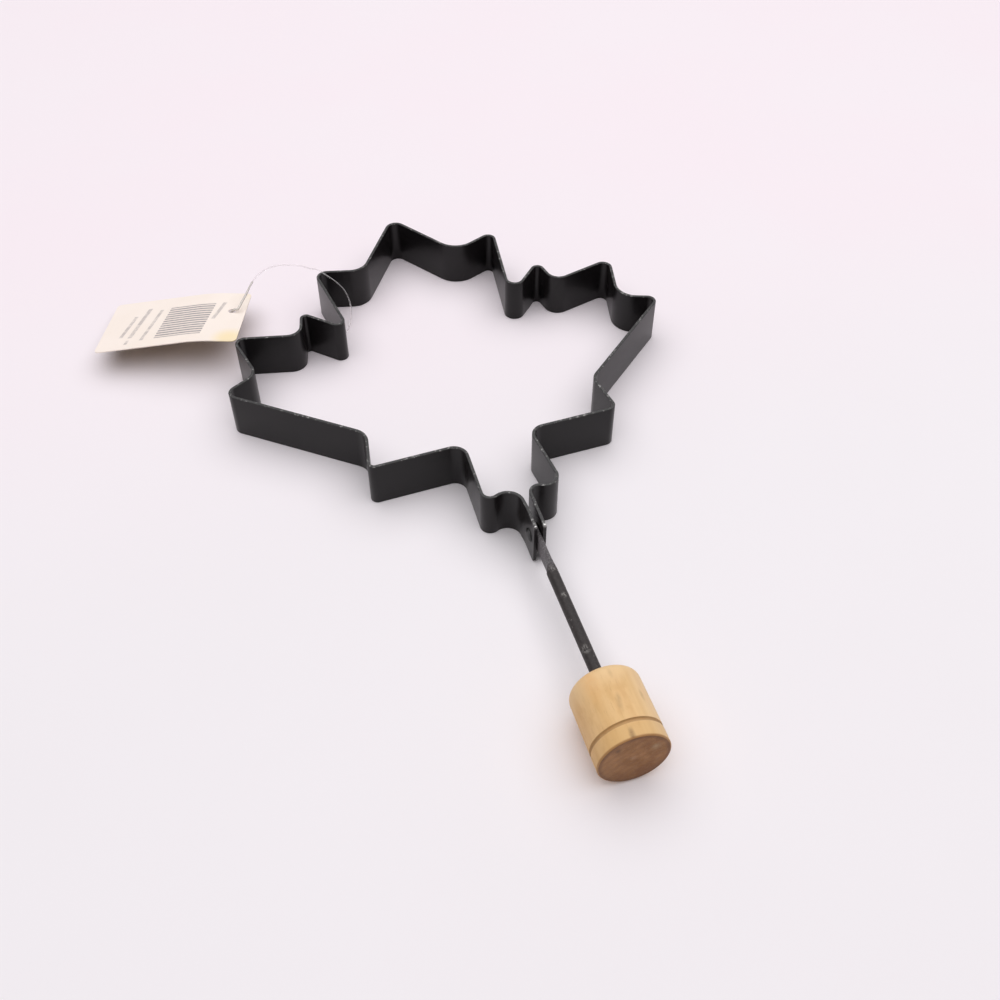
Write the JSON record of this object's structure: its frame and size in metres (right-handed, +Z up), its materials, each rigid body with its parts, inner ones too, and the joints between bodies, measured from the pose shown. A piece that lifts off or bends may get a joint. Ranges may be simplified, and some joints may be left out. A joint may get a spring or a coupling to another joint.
{
  "type": "pancake ring",
  "caption": "Maple leaf pancake ring: an upright bent steel strip with a riveted folding handle, a turned wooden knob and a loose card tag.",
  "frame": {"origin": "on the surface the ring stands on, under the middle of the ring and its resting handle seen from above", "axes": "+Y from the handle through the rivet to the leaf's tip, +Z up out of the ring, +X along the handle's hinge"},
  "size_m": [0.2292, 0.2842, 0.0247],
  "materials": {
    "coated_steel": "black semi-gloss baked coating",
    "rivet_steel": "black coating, worn on the domes",
    "rod_steel": "black coating, satin, worn in spots",
    "turned_wood": "turned, lightly oiled",
    "tag_card": "matte cream card",
    "lock_nylon": "translucent nylon",
    "loop_nylon": "clear nylon line"
  },
  "bodies": {
    "ring": {"leaf_ring": "coated_steel", "rivet": "rivet_steel", "tag_card": "tag_card", "tag_lock": "lock_nylon", "tag_loop": "loop_nylon"},
    "handle": {"handle_rod": "rod_steel", "knob": "turned_wood"}
  },
  "joints": [
    {"name": "handle_hinge", "type": "hinge", "parent": "ring", "child": "handle", "pos_m": [0.00415, -0.04561, 0.0095], "axis": [-1, 0, 0], "continuous": true}
  ]
}
